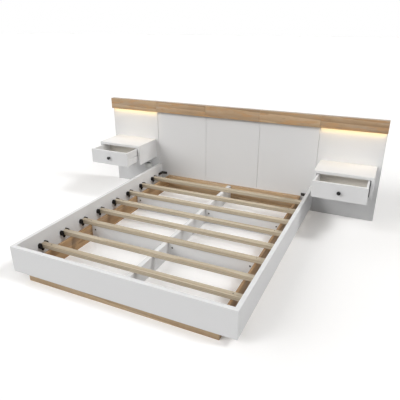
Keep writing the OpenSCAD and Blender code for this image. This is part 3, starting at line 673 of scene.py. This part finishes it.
sensor_grey = (0.58, 0.58, 0.56)
sensor_gloss = 0.40
window_dark = (0.030, 0.040, 0.040)
window_gloss = 0.08
window_grain = 200.0
window_relief = 0.00001
give(moulded("sensor", sensor_grey, sensor_gloss, 81), "sensor_housing")
give(moulded("window", window_dark, window_gloss, 82, window_grain, window_relief), "sensor_lens")


# Nightstands: top, bottom, two sides and a back of the white coated board, joined by dowels and screwed
# to the outer panels. Runners of light grey plastic are screwed to the inside of their sides.

stand_board = 0.022      # thickness of a side
runner_grey = (0.42, 0.43, 0.43)
runner_gloss = 0.36

for side, first_seed in (("left", 91), ("right", 101)):
    for seed, place in enumerate(("top", "bottom", "sides", "back"), first_seed):
        name = f"{side}_stand_{place}"
        inner_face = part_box(name)[1].x - stand_board if place == "sides" else None
        give(coated_board(name, seed, inner_face), name)
give(moulded("runners", runner_grey, runner_gloss, 95), "drawer_runners")


# Drawers: a white front and two white sides, whose grooves hang on the runners, a back and a bottom of
# greige board printed with a linen weave, and a round black knob on the front.

drawer_board = 0.015     # thickness of a side
lining_light = (0.76, 0.73, 0.68)
lining_dark = (0.69, 0.66, 0.61)
lining_gloss = 0.55      # roughness
lining_relief = 0.00008  # height of one unit of relief
across_threads = 900.0   # steps of the pattern to the metre
along_threads = 60.0
knob_black = (0.008, 0.008, 0.008)
knob_gloss = 0.38


def lining(name, seed):
    """Greige board inside the drawers, printed with a fine linen weave."""
    finish = Finish(f"lining_{name}")
    at = finish.shifted((seed, seed, seed))
    warp = finish.cloud(finish.shifted((seed, 0.0, 0.0), (across_threads, along_threads, along_threads)),
                        per_metre=1.0)
    weft = finish.cloud(finish.shifted((0.0, seed, 0.0), (along_threads, across_threads, across_threads)),
                        per_metre=1.0)
    cloth = warp * 0.5 + weft * 0.5
    tone = finish.ramp(cloth, [(0.35, lining_dark), (0.65, lining_light)])
    rough = lining_gloss + cloth * 0.1 + finish.cloud(at, per_metre=8.0) * 0.05
    return finish.surface(tone, rough, cloth, lining_relief, {"Specular IOR Level": 0.35})


for number, side in enumerate(("left", "right")):
    front, sides, back, bottom, knob = (
        f"{side}_drawer_{place}" for place in ("front", "sides", "back", "bottom", "knob"))
    give(coated_board(front, 111 + number), front)
    give(coated_board(sides, 113 + number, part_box(sides)[1].x - drawer_board), sides)
    for name in (back, bottom):
        give(lining(name, 115 + number), name)
    give(powder_coat(f"{side}_knob", knob_black, knob_gloss, 117 + number), knob)


# Floor, light and camera: a plain white floor that runs out of sight under a white sky, which lights
# nothing, and far studio lamps all round, given by where they stand, how wide and how strong they are.

floor_half = 60.0
floor_mesh = bpy.data.meshes.new("floor")
floor_mesh.from_pydata([(-floor_half, -floor_half, 0.0), (floor_half, -floor_half, 0.0),
                        (floor_half, floor_half, 0.0), (-floor_half, floor_half, 0.0)], [],
                       [(0, 1, 2, 3)])
floor = bpy.data.objects.new("floor", floor_mesh)
bpy.context.scene.collection.objects.link(floor)
floor_seen = (0.95, 0.95, 0.95)      # its colour for the camera and in reflections
floor_bounce = (0.40, 0.40, 0.40)    # its colour for the light that it throws back on the object
floor_lift = (0.125, 0.115, 0.105)   # added to what is seen of the floor, so that it is white
floor_gloss = 0.95                   # roughness
black = (0.0, 0.0, 0.0)
floor_finish = Finish("floor_matt")
camera_ray, glossy_ray, clear_ray = (floor_finish.node("ShaderNodeLightPath", output=f"Is {kind} Ray")
                                     for kind in ("Camera", "Glossy", "Transmission"))
floor_ray = camera_ray.at_least(glossy_ray).at_least(clear_ray)
floor_grit = floor_finish.cloud(floor_finish.place, per_metre=240.0)
floor_mesh.materials.append(floor_finish.surface(
    floor_finish.blend(floor_ray, floor_bounce, floor_seen), floor_gloss + floor_grit * 0.05, others={
        "Specular IOR Level": 0.0, "Emission Strength": 1.0,
        "Emission Color": floor_finish.blend(floor_ray, black, floor_lift)}))

sky = bpy.data.worlds.new("sky")
bpy.context.scene.world = sky
sky.use_nodes = True
sky.node_tree.nodes.clear()
sky_white = (1.0, 1.0, 1.0, 1.0)
sky_light = 0.0                      # how strongly it lights the object
sky_seen = 1.0                       # how bright it is for the camera and in reflections


def sky_node(kind, **values):
    made = sky.node_tree.nodes.new(kind)
    for key, value in values.items():
        made.inputs[key].default_value = value
    return made


path = sky_node("ShaderNodeLightPath")
seen = sky_node("ShaderNodeMath")
seen_through = sky_node("ShaderNodeMath")
seen.operation = seen_through.operation = "MAXIMUM"
ambient = sky_node("ShaderNodeBackground", Color=sky_white, Strength=sky_light)
backdrop = sky_node("ShaderNodeBackground", Color=sky_white, Strength=sky_seen)
mixed = sky_node("ShaderNodeMixShader")
sky_end = sky_node("ShaderNodeOutputWorld")
for source, target in ((path.outputs["Is Camera Ray"], seen.inputs[0]),
                       (path.outputs["Is Glossy Ray"], seen.inputs[1]),
                       (seen.outputs[0], seen_through.inputs[0]),
                       (path.outputs["Is Transmission Ray"], seen_through.inputs[1]),
                       (seen_through.outputs[0], mixed.inputs[0]),
                       (ambient.outputs[0], mixed.inputs[1]),
                       (backdrop.outputs[0], mixed.inputs[2]),
                       (mixed.outputs[0], sky_end.inputs["Surface"])):
    sky.node_tree.links.new(source, target)


def far_lamp(name, around, above, width, strength):
    """A lamp far away. around is its bearing from +X toward +Y, above its height and width how wide it
    looks, all in degrees; strength is how bright it makes a white sheet that faces it."""
    data = bpy.data.lights.new(name, "SUN")
    data.angle = math.radians(width)
    data.energy = math.pi * strength
    lamp = bpy.data.objects.new(name, data)
    bpy.context.scene.collection.objects.link(lamp)
    lamp.rotation_euler = (0.0, math.radians(90 - above), math.radians(around))


for lamp_setting in (("key_left_front", 235, 35, 25, 0.37), ("low_left_front", 218, 20, 25, 0.23),
                     ("low_left", 180, 20, 50, 0.35), ("fill_right_front", 315, 45, 50, 0.22),
                     ("low_right_front", 333, 20, 50, 0.16), ("key_right", 12, 48, 12, 0.36),
                     ("fill_left_back", 135, 45, 50, 0.11)):
    far_lamp(*lamp_setting)

camera_place = (1.4051, -2.7570, 1.6535)
camera_tilt = 67.085                 # degrees up from straight down
camera_turn = 24.981                 # degrees from +Y toward -X
camera_lens = 37.58                  # millimetres
film_width = 36.0                    # millimetres
camera_data = bpy.data.cameras.new("camera")
camera_data.lens = camera_lens
camera_data.sensor_width = film_width
camera = bpy.data.objects.new("camera", camera_data)
bpy.context.scene.collection.objects.link(camera)
camera.location = camera_place
camera.rotation_euler = (math.radians(camera_tilt), 0.0, math.radians(camera_turn))
bpy.context.scene.camera = camera
bpy.context.scene.view_settings.view_transform = "Standard"
